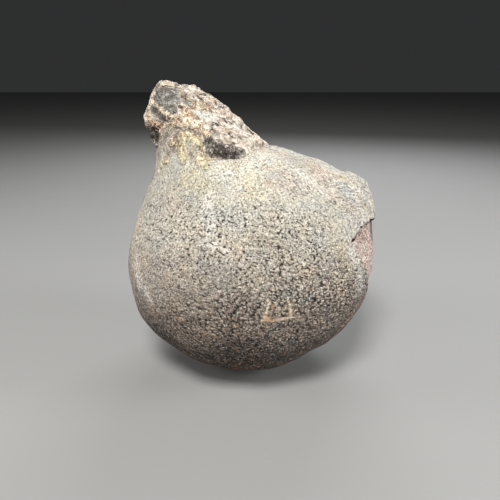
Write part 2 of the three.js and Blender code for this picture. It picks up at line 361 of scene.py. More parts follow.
CREAM = [
    (1.4, [(-45.1, 3.4, 127.3), (-41.9, 0.2, 125.3), (-39.1, -3.8, 123.9), (-35.6, -10.0, 122.5)]),
    (2.9, [(-34.8, -9.9, 120.4), (-30.3, -11.3, 120.1), (-25.8, -12.4, 119.8)]),
    (2.9, [(-25.8, -12.4, 119.8), (-22.2, -14.8, 117.9), (-18.1, -23.7, 117.3)]),
    (1.6, [(-40.9, -2.1, 114.3), (-39.2, -4.2, 116.7), (-36.1, -7.6, 118.6), (-31.2, -11.5, 118.8)]),
    (1.5, [(-39.9, -11.4, 101.4), (-39.6, -12.0, 100.1)]),
    (1.2, [(-37.2, -14.6, 103.7), (-36.7, -15.3, 103.0)]),
    (1.1, [(-41.9, -8.8, 98.2), (-41.5, -9.7, 97.4)]),
    (1.9, [(-23.7, -5.2, 125.9), (-18.6, -3.2, 124.9)]),
    (2.3, [(-26.9, -9.7, 122.9), (-24.7, -10.4, 121.3)]),
    (0.8, [(-38.5, -0.9, 134.6), (-35.3, -1.3, 134.8), (-33.2, -0.7, 134.0)]),
    (4.0, [(-20.0, 24.0, 114.0), (-12.0, 24.0, 112.0)]),
]
YELLOW = [
    (3.2, [(-29.1, -15.3, 114.8), (-25.6, -16.9, 114.0), (-21.4, -20.0, 113.7)]),
    (3.2, [(-32.2, -16.2, 111.7), (-29.3, -19.5, 110.1)]),
    (3.1, [(-29.0, -20.9, 108.2), (-27.9, -23.2, 106.5)]),
    (3.5, [(-19.7, -27.3, 107.2), (-18.8, -29.5, 105.5)]),
    (2.2, [(-22.3, -19.3, 113.4), (-20.4, -22.7, 111.4)]),
    (1.0, [(-38.9, -12.5, 103.4), (-38.4, -13.2, 102.2)]),
    (2.0, [(39.0, -20.5, 97.6), (40.3, -21.0, 96.8)]),
    (2.4, [(20.0, 40.0, 86.0), (24.0, 40.0, 83.0)]),
    (2.2, [(-36.0, 34.0, 84.0), (-34.0, 36.0, 81.0)]),
    (1.8, [(-26.0, 27.0, 106.0)]),
]
GOLD = [
    (3.3, [(35.9, -43.2, 72.1), (38.0, -43.5, 64.3)]),
    (4.0, [(-0.7, -36.4, 98.7), (3.3, -40.1, 95.5)]),
    (5.0, [(-27.0, -27.2, 100.9), (-18.2, -34.4, 98.2)]),
    (3.9, [(-27.1, -20.0, 110.6), (-24.9, -25.8, 105.7)]),
    (2.0, [(40.7, -21.1, 96.7), (43.0, -23.4, 95.0)]),
    (9.0, [(-20.0, 42.0, 84.0), (4.0, 46.0, 80.0)]),
    (7.0, [(-48.0, 20.0, 70.0)]),
]
# dark stains; on the neck under the crusts and beside the broken lip they are painted shadow
STAIN_AND_SHADOW = [
    (5.6, [(56.8, -10.5, 74.5), (57.6, -5.0, 68.0)]),
    (2.1, [(-35.0, -10.3, 116.6), (-31.7, -11.8, 117.1), (-28.8, -14.7, 115.8)]),
    (1.6, [(-27.1, -14.0, 116.6), (-25.7, -14.6, 116.2)]),
    (1.0, [(-23.1, -20.1, 112.7), (-21.2, -23.6, 110.7), (-19.8, -26.4, 108.7)]),
    (2.6, [(-43.4, 0.5, 124.2), (-40.2, -3.1, 122.3), (-37.4, -7.6, 120.6)]),
    (2.1, [(-30.9, -2.7, 131.7), (-28.1, -4.1, 129.7)]),
    (1.9, [(-25.9, 0.3, 131.6), (-22.3, -0.1, 129.5)]),
    (3.0, [(-30.0, 25.0, 110.0), (-22.0, 28.0, 107.0)]),
]
BLUE = [
    (2.8, [(-22.7, -7.3, 123.5), (-15.9, -5.5, 120.8)]),
    (2.2, [(-26.3, -19.0, 111.7), (-24.2, -23.4, 109.4)]),
    (2.6, [(19.0, -19.8, 104.6), (23.4, -27.6, 101.0)]),
    (2.2, [(49.2, -24.5, 89.1), (53.2, -22.6, 82.8)]),
    (3.0, [(37.0, -28.7, 94.4), (41.9, -31.0, 89.9)]),
    (2.5, [(29.4, -35.8, 92.8), (36.0, -37.4, 86.5)]),
    (2.2, [(45.9, -38.1, 62.1), (47.3, -37.6, 55.4), (45.7, -38.7, 51.2)]),
    (4.7, [(-49.0, -32.4, 44.4), (-45.7, -31.0, 31.1)]),
    (2.1, [(7.5, -31.2, 102.1), (12.3, -33.1, 100.8)]),
    (8.0, [(-50.0, 18.0, 56.0), (-48.0, 26.0, 46.0)]),
    (6.0, [(20.0, 48.0, 62.0), (30.0, 42.0, 56.0)]),
]
PINK = [
    (2.1, [(8.3, -29.7, 103.1), (13.2, -31.2, 101.7), (17.1, -34.3, 99.0), (19.7, -38.9, 95.2)]),
    (3.3, [(10.6, -35.7, 99.3), (15.4, -36.6, 97.9)]),
    (1.8, [(13.4, -11.8, 107.0), (18.6, -13.0, 105.6)]),
    (2.6, [(21.8, -17.2, 104.2), (27.6, -20.5, 102.2), (34.6, -20.4, 99.1)]),
    (2.6, [(27.9, -25.2, 100.5), (34.6, -27.6, 95.9), (40.9, -32.1, 89.3), (45.7, -31.4, 83.0)]),
    (1.8, [(45.3, -25.2, 92.8), (49.0, -26.2, 86.9)]),
    (5.4, [(-4.0, -54.6, 41.6), (5.1, -51.7, 32.9)]),
    (5.2, [(-33.8, -45.5, 42.3), (-20.8, -50.2, 35.4)]),
    (2.7, [(46.5, -31.2, 72.3), (50.3, -29.2, 61.4)]),
    (10.0, [(-20.0, 48.0, 64.0), (-8.0, 52.0, 56.0)]),
    (9.0, [(12.0, 50.0, 40.0), (24.0, 44.0, 36.0)]),
    (6.0, [(40.0, 20.0, 92.0), (46.0, 10.0, 88.0)]),
]
PALE = [
    (2.7, [(-46.1, -36.6, 54.5), (-43.0, -39.3, 47.7)]),
    (2.7, [(-50.0, -28.9, 63.1), (-48.5, -34.0, 52.4)]),
    (2.8, [(-17.6, -38.2, 93.4), (-14.8, -47.6, 81.2)]),
    (4.4, [(42.6, -39.1, 69.7), (46.4, -37.8, 61.1), (47.9, -36.4, 50.7)]),
    (2.4, [(-17.6, -48.6, 78.2), (-9.7, -50.9, 74.9)]),
    (3.4, [(20.8, -28.7, 101.2), (29.6, -33.9, 94.0)]),
    (2.2, [(43.7, -24.2, 94.3), (49.3, -23.8, 89.8)]),
    (8.0, [(-30.0, 42.0, 70.0), (-36.0, 36.0, 60.0)]),
    (8.0, [(30.0, 40.0, 74.0), (40.0, 30.0, 70.0)]),
]
NECK = [
    (4.1, [(-36.4, -10.2, 114.8), (-37.3, -11.8, 110.7)]),
    (3.1, [(-31.5, -13.7, 115.2), (-33.1, -16.2, 110.0)]),
    (3.3, [(-40.3, -6.5, 111.3), (-41.5, -6.9, 105.5)]),
    (2.4, [(-44.7, 3.0, 100.7), (-45.6, -2.5, 93.2)]),
    (2.0, [(-35.7, -15.0, 106.4), (-36.7, -15.3, 103.0)]),
    (1.5, [(-25.0, -23.5, 108.6), (-24.0, -25.8, 106.5)]),
    (5.0, [(-24.0, 24.0, 112.0), (-20.0, 27.0, 104.0)]),
    (4.0, [(-34.0, 16.0, 108.0), (-36.0, 14.0, 100.0)]),
]
RIM = [
    (1.1, [(51.2, -29.1, 44.8), (48.2, -32.0, 41.2), (44.4, -34.3, 36.9), (41.0, -34.9, 32.2), (39.4, -30.6, 25.6)]),
]
# gashes beside the broken lip, painted dark as shade
GASH = [
    (0.8, [(47.2, -31.7, 78.3), (51.2, -23.8, 77.2), (52.3, -25.7, 79.6), (55.6, -19.4, 78.2)]),
    (0.7, [(42.7, -35.1, 73.2), (44.3, -33.3, 73.4)]),
]
VEIN = [
    [(4.8, -54.0, 45.6), (6.6, -53.9, 46.2), (7.8, -53.7, 45.7), (9.0, -53.6, 45.4), (10.7, -53.4, 45.5), (11.9, -53.2, 45.4), (13.1, -53.0, 45.8), (14.3, -52.8, 45.9), (15.6, -52.7, 46.3), (17.6, -52.4, 46.4)],
    [(6.2, -54.1, 46.4), (6.5, -54.4, 49.2), (7.0, -54.6, 51.0), (7.3, -54.6, 52.4), (7.7, -54.6, 53.6)],
    [(16.8, -52.5, 46.2), (16.5, -53.1, 48.6), (16.2, -53.7, 51.1), (15.7, -54.0, 53.0)],
]


def wall_regions(p):
    """How knobbly, how pitted and how smooth the wall is, from 0 to 1."""
    x, y, z = p.T
    wob = 6.0 * noise(p, 22.0, 31)
    front = smoothstep(10, -20, y)
    # knobbly plates low down, higher up towards the broken side
    line = 58.0 + 0.16 * x + wob
    plates = smoothstep(line + 12, line - 10, z)
    plates = np.maximum(plates, 0.75 * smoothstep(24, 46, x) * smoothstep(78, 64, z + wob * 0.4))
    plates = plates * (1 - 0.45 * smoothstep(-30, -52, x) * front)
    top = 99.0 - 0.0150 * np.maximum(x, 0) ** 2
    pits = smoothstep(top + 4, top - 14, z + wob * 0.5) * smoothstep(34, 62, z + 0.1 * x)
    pits = pits * (0.55 + 0.45 * np.maximum(np.exp(-(((x + 18) / 24) ** 2) - ((z - 80) / 14) ** 2), smoothstep(0, 14, x)))
    pits = pits * (1 - 0.8 * smoothstep(-40, -54, x))
    pits = pits * (1 - smoothstep(26, 38, x) * smoothstep(72, 82, z + 0.15 * x))
    calm = smoothstep(92, 104, z + 0.18 * np.maximum(x, 0)) + smoothstep(0.2, 0.9, (x - 8) / 40) * smoothstep(78, 90, z)
    # short creases, most of them right of the middle
    dashes = smoothstep(-8, 14, x + wob * 0.8) * front + 0.55 * (1 - front)
    dashes = dashes * (1 - smoothstep(28, 40, x) * smoothstep(72, 82, z + 0.15 * x))
    dashes = (0.20 + 0.80 * dashes) * smoothstep(top - 11, top - 26, z + wob * 0.4) * smoothstep(38, 52, z + 0.1 * x)
    return plates, pits, np.clip(calm, 0, 1), dashes


def fields_of(p):
    plates, pits, calm, dashes = wall_regions(p)
    vein = np.minimum.reduce([path_distance(p, path) for path in VEIN])
    return {
        "rock": np.clip(rock_distance(p), -6, 12),
        "window": np.clip(inside_window(p), -12, 12),
        "plates": plates,
        "pits": pits,
        "calm": calm,
        "dashes": dashes,
        "slate": strokes(p, SLATE),
        "dark": strokes(p, DARK_ROCK_AND_SHADE),
        "rust": strokes(p, RUST),
        "cream": strokes(p, CREAM),
        "yellow": strokes(p, YELLOW),
        "gold": strokes(p, GOLD),
        "stain_and_shadow": strokes(p, STAIN_AND_SHADOW),
        "blue": strokes(p, BLUE),
        "pink": strokes(p, PINK),
        "pale": strokes(p, PALE),
        "neck": strokes(p, NECK),
        "edge": strokes(p, RIM),
        "gash": strokes(p, GASH),
        "vein": np.minimum(vein, 8.0),
    }


BRUSHES = [
    ((-39.0, 4.0, 135.0), 9.0, (0.0, 0.0, 1.0)),
    ((-25.0, 6.0, 134.0), 9.0, (0.0, 0.0, -3.0)),
    ((2.5, 3.0, 114.0), 10.0, (0.0, 0.0, -3.6)),
    ((-45.5, 0.0, 128.0), 8.0, (2.7, 0.0, -1.4)),
    ((-44.0, 0.5, 110.0), 6.5, (3.2, 0.0, 2.8)),
    ((54.5, -11.0, 89.0), 13.0, (-4.2, 0.0, -1.4)),
    ((57.0, -10.0, 73.0), 15.0, (-1.3, 0.0, 0.0)),
    ((50.0, -22.0, 44.0), 14.0, (-1.0, 0.4, 0.0)),
    ((55.0, -14.0, 64.0), 9.0, (-0.9, 0.0, 0.0)),
    ((8.0, 3.0, 110.0), 8.0, (0.0, 0.0, -1.3)),
    ((5.0, 0.0, 111.5), 9.0, (0.0, 0.0, -1.4)),
    ((20.0, -7.0, 106.0), 7.0, (0.0, 0.0, -0.9)),
    ((42.5, -3.0, 98.5), 4.5, (0.0, 0.0, -0.6)),
    ((56.5, -14.5, 76.0), 5.0, (-2.4, 0.0, 0.0)),
    ((57.0, -12.0, 70.0), 9.0, (-0.8, 0.0, 0.0)),
    ((-46.0, -18.0, 32.0), 24.0, (-1.3, -0.3, -0.4)),
    ((4.0, -11.5, 112.5), 7.0, (0.0, 0.0, -1.2)),
    ((1.0, 7.0, 114.0), 9.0, (0.0, 0.0, -0.9)),
    ((57.0, -15.0, 60.5), 8.0, (-1.2, 0.0, 0.0)),
]


def brushed(v):
    """Small pushes that trim the outline: centre, reach and push in mm."""
    out = v.copy()
    for centre, reach, push in BRUSHES:
        k = smoothstep(1.0, 0.0, np.linalg.norm(v - np.array(centre), axis=1) / reach)
        out += k[:, None] * np.array(push)
    return out


# ------------------------------------------------------------------ the wall and its filling
def build_wall():
    v, quads = voxel_mesh(welded_copy(stone), 0.83)
    e = edges_of(quads)
    rock = rock_distance(v)
    window = inside_window(v)
    rim = np.exp(-((window / 1.5) ** 2))
    v = smoothed(v, e, 1.0 - 0.75 * rim, 10)
    n = normals_of(v, quads)
    x, y, z = v.T
    wall = smoothstep(0.8, 2.2, rock)
    core = smoothstep(0.2, 1.0, window)
    plates, pits, calm, dashes = wall_regions(v)
    d = wall * (1 - core) * (0.24 * fractal(v, 10.0, 2, 3) + (0.16 - 0.06 * calm) * fractal(v, 4.6, 2, 7))
    # faint oblique ribs across the upper right
    d += wall * calm * (1 - core) * 0.10 * noise(np.stack([(x * 0.8 - z * 0.6) / 0.45, y, (x * 0.6 + z * 0.8) * 1.0], 1), 6.0, 11)
    # filling: fine, slightly hackly
    d += core * (0.28 * fractal(v, 7.0, 3, 5) + 0.16 * fractal(v, 2.4, 2, 8))
    # broken lip of the wall and the crack beside it
    jag = 0.7 * noise(v, 3.2, 13)
    d += wall * 0.28 * np.exp(-(((window + 1.1 + jag) / 0.9) ** 2))
    d -= wall * 0.95 * np.exp(-(((window - 0.55 + 0.4 * jag) / 0.62) ** 2)) * smoothstep(-0.55, 0.25, noise(v, 11.0, 17) + 0.5)
    # raised flake on the upper right shoulder
    flake = smoothstep(44.7, 45.7, x) * smoothstep(57.5, 54.0, x) * smoothstep(80.0, 84.0, z) * smoothstep(-17.0, -12.0, y) * smoothstep(26, 18, y)
    d += 1.25 * flake
    # uneven crest, with one low swelling
    d += wall * (1 - core) * 0.42 * fractal(v, 3.8, 2, 41) * smoothstep(0, 14, x) * smoothstep(-34, -12, y) * smoothstep(84, 94, z + 0.15 * x)
    d += 0.9 * np.exp(-(((v - np.array([11.0, -6.0, 108.5])) / np.array([3.4, 6.0, 3.6])) ** 2).sum(1))
    # chip under the front
    d -= 0.9 * np.exp(-(((v - np.array([17.5, -27.0, 13.5])) / np.array([3.6, 6.0, 2.6])) ** 2).sum(1))
    foot = smoothstep(0.6, 4.0, z)
    d *= foot
    # step down under the clinging rock, which is a piece of its own
    under = 1.0 - smoothstep(0.3, 1.3, rock)
    # rough crusts left on the neck
    crust = wall * smoothstep(-0.1, 0.5, np.maximum(strokes(v, YELLOW), strokes(v, CREAM)))
    d += crust * (0.28 + 0.45 * fractal(v, 2.6, 2, 71))
    d = d * (1 - under) - 1.3 * under
    v = v + n * d[:, None]
    return brushed(v), quads


v, quads = build_wall()
wall_piece = make_piece("lobolite_wall", v, quads, fields_of(v))


# ------------------------------------------------------------------ the clinging rock
def build_rock():
    m = welded_copy(stone)
    level = (92.0 + SHIFT[2]) * MM
    bmesh.ops.bisect_plane(m, geom=m.verts[:] + m.edges[:] + m.faces[:], plane_co=(0, 0, level), plane_no=(0, 0, 1), clear_inner=True)
    bmesh.ops.holes_fill(m, edges=[e for e in m.edges if e.is_boundary], sides=0)
    v, quads = voxel_mesh(m, 0.42)
    rock = rock_distance(v)
    quads_keep = (rock[quads].min(1) < 1.7) & (v[quads][:, :, 2].min(1) > 93.0)
    v, quads = keep_faces(v, quads, quads_keep)
    e = edges_of(quads)
    v = smoothed(v, e, np.full(len(v), 0.8), 7)
    n = normals_of(v, quads)
    rock = rock_distance(v)
    body = 1.0 - smoothstep(0.7, 1.6, rock)
    dark = smoothstep(-0.1, 0.35, strokes(v, SLATE))
    crag = 0.75 * (1 - 0.45 * dark)
    d = crag * fractal(v, 5.2, 3, 41)
    near, next_, mark = cells(v + 0.8 * np.stack([noise(v, 4.0, 50 + k) for k in range(3)], 1), 3.6, 43)
    d += 0.55 * (mark - 0.5) * smoothstep(0.02, 0.22, next_ - near)
    d -= 0.45 * (1 - smoothstep(0.0, 0.16, next_ - near)) * smoothstep(-0.2, 0.5, noise(v, 7.0, 61))
    near, next_, mark = cells(v, 1.7, 47)
    d += 0.30 * (mark - 0.5) * (1 - 0.5 * dark)
    # small holes between the crusts
    hole = smoothstep(0.34, 0.12, cells(v, 3.4, 53, 0.95)[0]) * smoothstep(0.0, 0.4, noise(v, 6.0, 67) + 0.1)
    d -= 0.8 * hole * (1 - dark)
    d = d * body - 1.0 * (1 - body)
    return brushed(v + n * d[:, None]), quads


v, quads = build_rock()
rock_piece = make_piece("clinging_rock", v, quads, fields_of(v))
print("triangles", len(wall_piece.data.polygons) * 2, len(rock_piece.data.polygons) * 2)


# ------------------------------------------------------------------ material nodes
class Nodes:
    """Short names for the nodes of one material."""

    def __init__(self, name):
        self.material = bpy.data.materials.new(name)
        self.material.use_nodes = True
        self.tree = self.material.node_tree
        self.shader = next(n for n in self.tree.nodes if n.type == "BSDF_PRINCIPLED")
        self.count = 0

    def add(self, kind, **props):
        n = self.tree.nodes.new(kind)
        n.location = ((self.count % 12) * 190 - 2600, -(self.count // 12) * 230)
        self.count += 1
        for key, value in props.items():
            setattr(n, key, value)
        return n

    def put(self, socket, value):
        if isinstance(value, bpy.types.NodeSocket):
            self.tree.links.new(value, socket)
        elif value is not None:
            if hasattr(socket.default_value, "__len__") and not hasattr(value, "__len__"):
                value = (value,) * len(socket.default_value)
            if hasattr(socket.default_value, "__len__") and len(value) < len(socket.default_value):
                value = tuple(value) + (1.0,)
            socket.default_value = value

    def math(self, op, a, b=None, c=None, clamp=False):
        n = self.add("ShaderNodeMath", operation=op, use_clamp=clamp)
        for s, x in zip(n.inputs, (a, b, c)):
            self.put(s, x)
        return n.outputs[0]

    def plus(self, *xs):
        out = xs[0]
        for x in xs[1:]:
            out = self.math("ADD", out, x)
        return out

    def times(self, *xs):
        out = xs[0]
        for x in xs[1:]:
            out = self.math("MULTIPLY", out, x)
        return out

    def minus(self, a, b):
        return self.math("SUBTRACT", a, b)

    def vec(self, op, a, b=None, scale=None):
        n = self.add("ShaderNodeVectorMath", operation=op)
        self.put(n.inputs[0], a)
        if b is not None:
            self.put(n.inputs[1], b)
        if scale is not None:
            self.put(n.inputs["Scale"], scale)
        return n.outputs["Value"] if op in ("LENGTH", "DISTANCE", "DOT_PRODUCT") else n.outputs["Vector"]

    def split(self, v):
        n = self.add("ShaderNodeSeparateXYZ")
        self.put(n.inputs[0], v)
        return n.outputs[0], n.outputs[1], n.outputs[2]

    def join(self, x, y, z):
        n = self.add("ShaderNodeCombineXYZ")
        for s, value in zip(n.inputs, (x, y, z)):
            self.put(s, value)
        return n.outputs[0]

    def step(self, a, b, x):
        """Smooth step of x from a to b."""
        n = self.add("ShaderNodeMapRange", interpolation_type="SMOOTHSTEP")
        self.put(n.inputs["Value"], x)
        flip = a > b
        lo_, hi_ = (b, a) if flip else (a, b)
        self.put(n.inputs["From Min"], lo_)
        self.put(n.inputs["From Max"], hi_)
        self.put(n.inputs["To Min"], 1.0 if flip else 0.0)
        self.put(n.inputs["To Max"], 0.0 if flip else 1.0)
        return n.outputs[0]

    def mix(self, f, a, b, mode="MIX"):
        n = self.add("ShaderNodeMix", data_type="RGBA", blend_type=mode)
        self.put(n.inputs[0], f)
        self.put(n.inputs[6], a)
        self.put(n.inputs[7], b)
        return n.outputs[2]

    def blend(self, f, a, b):
        n = self.add("ShaderNodeMix", data_type="FLOAT")
        self.put(n.inputs[0], f)
        self.put(n.inputs[2], a)
        self.put(n.inputs[3], b)
        return n.outputs[0]

    def noise(self, p, size, detail=2.0, rough=0.5, distortion=0.0, colour=False):
        n = self.add("ShaderNodeTexNoise", noise_dimensions="3D")
        self.put(n.inputs["Vector"], p)
        self.put(n.inputs["Scale"], 1.0 / size)
        self.put(n.inputs["Detail"], detail)
        self.put(n.inputs["Roughness"], rough)
        self.put(n.inputs["Distortion"], distortion)
        return n.outputs[1] if colour else n.outputs[0]

    def voronoi(self, p, size, feature="F1", jitter=1.0, dims="2D"):
        n = self.add("ShaderNodeTexVoronoi", voronoi_dimensions=dims, feature=feature)
        self.put(n.inputs["Vector"], p)
        self.put(n.inputs["Scale"], 1.0 / size)
        self.put(n.inputs["Randomness"], jitter)
        return n

    def field(self, name):
        n = self.add("ShaderNodeAttribute", attribute_name=name)
        return n.outputs["Fac"]

    def ramp(self, x, stops):
        n = self.add("ShaderNodeValToRGB")
        els = n.color_ramp.elements
        while len(els) > 2:
            els.remove(els[-1])
        for k, (at, colour) in enumerate(stops):
            e = els[k] if k < 2 else els.new(at)
            e.position = at
            e.color = tuple(colour) + (1.0,)
        self.put(n.inputs[0], x)
        return n.outputs[0]


def charts(n, d):
    """Even map of the rounded stone onto six flat charts: a flat place in mm, and how far the nearest join between charts is."""
    warp = n.vec("SCALE", n.vec("SUBTRACT", n.noise(d, 13.0, 1.0, colour=True), (0.5, 0.5, 0.5)), scale=26.0)
    wx, wy, wz = (n.math("ABSOLUTE", c) for c in n.split(n.vec("ADD", d, warp)))
    ripple = n.vec("SCALE", n.vec("SUBTRACT", n.noise(d, 5.0, 1.0, colour=True), (0.5, 0.5, 0.5)), scale=2.2)
    x, y, z = n.split(n.vec("ADD", d, ripple))
    ax, ay, az = (n.math("ABSOLUTE", c) for c in (x, y, z))
    is_x = n.math("GREATER_THAN", wx, n.math("MAXIMUM", wy, wz))
    is_z = n.math("GREATER_THAN", wz, n.math("MAXIMUM", wx, wy))
    den = n.blend(is_x, n.blend(is_z, ay, az), ax)
    u = n.times(n.math("ARCTAN2", n.blend(is_x, x, y), den), 57.0)
    w = n.times(n.math("ARCTAN2", n.blend(is_z, z, y), den), 57.0)
    side = n.plus(n.times(is_x, n.times(n.math("SIGN", x), 300.0)), n.times(is_z, n.times(n.math("SIGN", z), 700.0)), n.times(n.math("SIGN", y), 170.0, n.minus(1.0, n.math("MAXIMUM", is_x, is_z))))
    most = n.math("MAXIMUM", wx, n.math("MAXIMUM", wy, wz))
    least = n.math("MINIMUM", wx, n.math("MINIMUM", wy, wz))
    middle = n.minus(n.plus(wx, wy, wz), n.plus(most, least))
    seam = n.times(n.math("DIVIDE", n.minus(most, middle), most), 40.0)
    return n.join(n.plus(u, side), w, 0.0), seam


def slanted(n, place, degrees, stretch):
    """Turn and stretch a flat place, so that patterns made from it run along a direction."""
    c, s_ = math.cos(math.radians(degrees)), math.sin(math.radians(degrees))
    k = math.sqrt(stretch)
    x, y, _ = n.split(place)
    return n.join(n.plus(n.times(x, c / k), n.times(y, s_ / k)), n.plus(n.times(x, -s_ * k), n.times(y, c * k)), 0.0)


def centred(n, value, amount):
    return n.times(n.minus(value, 0.5), amount)


def stone_material(name):
    n = Nodes(name)
    co = n.add("ShaderNodeTexCoord").outputs["Object"]
    p = n.vec("SCALE", co, scale=1000.0)
    d = n.vec("SUBTRACT", p, tuple(BULB))
    px, py, pz = n.split(p)
    flat, seam = charts(n, d)
    f = {k: n.field(k) for k in ("rock", "window", "plates", "pits", "dashes", "calm", "slate", "dark", "rust", "cream", "yellow", "gold", "stain_and_shadow", "blue", "pink", "pale", "neck", "edge", "gash", "vein")}

    # ---- shared grain
    grain = n.noise(p, 0.50, 2.0, 0.6)
    speck = n.noise(p, 0.95, 2.0, 0.6)
    lump = n.noise(n.vec("ADD", p, (5.0, 0.0, 9.0)), 1.9, 2.0, 0.55)
    mottle = n.noise(p, 3.4, 2.0, 0.55)
    patch = n.noise(p, 12.0, 3.0, 0.55)
    broad = n.noise(n.vec("ADD", p, (31.0, 7.0, 3.0)), 26.0, 2.0, 0.5)

    # ---- packed plates of the wall, coarse and fine
    wander = n.vec("SCALE", n.vec("SUBTRACT", n.noise(p, 2.6, 2.0, 0.55, colour=True), (0.5, 0.5, 0.5)), scale=0.95)
    bend = n.vec("ADD", flat, wander)
    knobs = slanted(n, bend, -37.0, 1.15)
    coarse = n.voronoi(knobs, 1.65, "F1", 0.95)
    between = n.voronoi(knobs, 1.65, "DISTANCE_TO_EDGE", 0.95).outputs["Distance"]
    groups = slanted(n, n.vec("ADD", bend, (21.0, 3.0, 0.0)), -34.0, 1.7)
    group = n.voronoi(groups, 4.6, "F1", 1.0)
    apart = n.voronoi(groups, 4.6, "DISTANCE_TO_EDGE", 1.0).outputs["Distance"]
    fine = n.voronoi(n.vec("ADD", bend, (13.0, 7.0, 0.0)), 0.90, "F1", 1.0)
    tint = n.split(coarse.outputs["Color"])
    tint_2 = n.split(fine.outputs["Color"])
    tint_3 = n.split(group.outputs["Color"])
    dome = n.math("SUBTRACT", 1.0, n.math("POWER", n.times(coarse.outputs["Distance"], 1.0 / 0.64), 2.0), clamp=True)
    dome_2 = n.math("SUBTRACT", 1.0, n.math("POWER", n.times(fine.outputs["Distance"], 1.0 / 0.66), 2.0), clamp=True)
    swell = n.math("SUBTRACT", 1.0, n.math("POWER", n.times(group.outputs["Distance"], 1.0 / 0.72), 2.0), clamp=True)
    knobbly = n.math("MULTIPLY_ADD", f["plates"], 0.86, 0.14)
    knobbly = n.times(knobbly, n.math("MULTIPLY_ADD", f["calm"], -0.55, 1.0))
    body = n.plus(n.times(dome, 0.54), n.times(dome_2, 0.46))
    # open gaps between knobs and between groups of knobs
    slit = n.noise(slanted(n, bend, -32.0, 2.6), 3.2, 2.0, 0.6)
    gap = n.times(n.step(0.12, 0.0, n.plus(between, centred(n, speck, 0.40))), n.step(0.52, 0.60, slit))
    rift = n.times(n.step(0.065, 0.01, n.plus(apart, centred(n, speck, 0.22), centred(n, grain, 0.10))), n.step(0.51, 0.59, n.noise(n.vec("ADD", bend, (2.0, 17.0, 0.0)), 3.6, 2.0, 0.6)))

    # ---- pores, thickest in clusters, and short slanting creases
    def scattered(place, size, least, more, share, soft_edge):
        cell = n.voronoi(place, size, "F1", 1.0)
        chance = n.split(cell.outputs["Color"])
        r = n.plus(cell.outputs["Distance"], centred(n, speck, 0.45), centred(n, grain, 0.20))
        reach = n.math("MULTIPLY_ADD", chance[1], more, least)
        return n.times(n.math("LESS_THAN", chance[0], share), n.step(0.0, soft_edge, n.minus(reach, r)))

    crowd = n.step(0.42, 0.60, n.noise(n.vec("ADD", p, (0.0, 4.0, 8.0)), 8.0, 2.0, 0.6))
    pores = scattered(slanted(n, n.vec("ADD", bend, (3.0, 1.0, 0.0)), -33.0, 1.5), 2.2, 0.12, 0.11, n.times(f["pits"], n.math("MULTIPLY_ADD", crowd, 0.44, 0.22)), 0.05)
    pricks = scattered(slanted(n, n.vec("ADD", bend, (5.0, 9.0, 0.0)), -33.0, 1.4), 1.4, 0.12, 0.12, n.math("MULTIPLY_ADD", f["pits"], 0.60, 0.06), 0.07)
    holes = scattered(n.vec("ADD", bend, (11.0, 5.0, 0.0)), 7.0, 0.035, 0.055, n.math("MULTIPLY_ADD", f["pits"], 0.40, 0.06), 0.03)
    junction = n.step(0.76, 0.83, n.plus(coarse.outputs["Distance"], centred(n, slit, 0.6), centred(n, speck, 0.30), n.times(crowd, 0.05), -0.02))
    pit = n.math("MAXIMUM", n.math("MAXIMUM", n.times(pores, 0.95), holes), n.math("MAXIMUM", n.times(pricks, 0.88), n.times(junction, f["pits"])))
    dash = scattered(slanted(n, n.vec("ADD", bend, (1.0, 3.0, 0.0)), -26.0, 4.0), 2.2, 0.16, 0.22, n.times(f["dashes"], 0.26), 0.10)
    open_ = n.math("MAXIMUM", n.times(f["dashes"], 0.72), n.times(f["plates"], 0.72))
    crease = n.math("MAXIMUM", n.times(dash, 0.9), n.times(n.math("MAXIMUM", n.times(gap, 0.80), rift), open_))

    on_rock = n.step(1.5, 0.7, n.plus(f["rock"], centred(n, mottle, 2.0)))
    on_core = n.step(-0.1, 0.35, n.plus(f["window"], centred(n, speck, 1.6)))

    # ---- wall colour, pale on the shoulder and darker towards the underside: partly the stone's own tone, mostly painted shade of the underside
    height = n.math("DIVIDE", n.plus(pz, centred(n, broad, 26.0), centred(n, patch, 12.0)), 140.0)
    wall = n.ramp(height, [
        (0.00, (0.030, 0.023, 0.020)),
        (0.20, (0.065, 0.052, 0.045)),
        (0.38, (0.250, 0.218, 0.187)),
        (0.52, (0.380, 0.352, 0.304)),
        (0.64, (0.405, 0.390, 0.346)),
        (0.70, (0.430, 0.416, 0.370)),
        (0.745, (0.475, 0.460, 0.410)),
        (0.79, (0.370, 0.335, 0.277)),
    ])
    hue = n.ramp(patch, [(0.34, (0.95, 0.98, 1.02)), (0.46, (1.0, 1.0, 1.0)), (0.56, (1.03, 1.0, 0.95)), (0.68, (1.08, 0.99, 0.93))])
    wall = n.mix(1.0, wall, hue, "MULTIPLY")
    light = n.plus(1.0, n.times(n.minus(tint[0], 0.5), knobbly, 0.30), n.times(n.minus(tint_2[0], 0.5), 0.42), n.times(n.minus(tint_3[0], 0.5), knobbly, 0.22), centred(n, mottle, 0.35), centred(n, speck, 1.25), centred(n, grain, 3.4))
    streak = n.noise(slanted(n, bend, -38.0, 7.0), 1.6, 2.0, 0.6)
    light = n.plus(light, n.times(n.minus(streak, 0.5), f["calm"], n.step(-6.0, 24.0, px), 2.4))
    # painted shade towards the upper left and painted light towards the upper right
    light = n.times(light, n.math("MULTIPLY_ADD", n.times(n.step(-6.0, -40.0, px), n.step(76.0, 92.0, pz)), -0.17, 1.0))
    light = n.times(light, n.math("MULTIPLY_ADD", n.times(n.step(26.0, 44.0, px), n.step(68.0, 84.0, pz)), 0.09, 1.0))
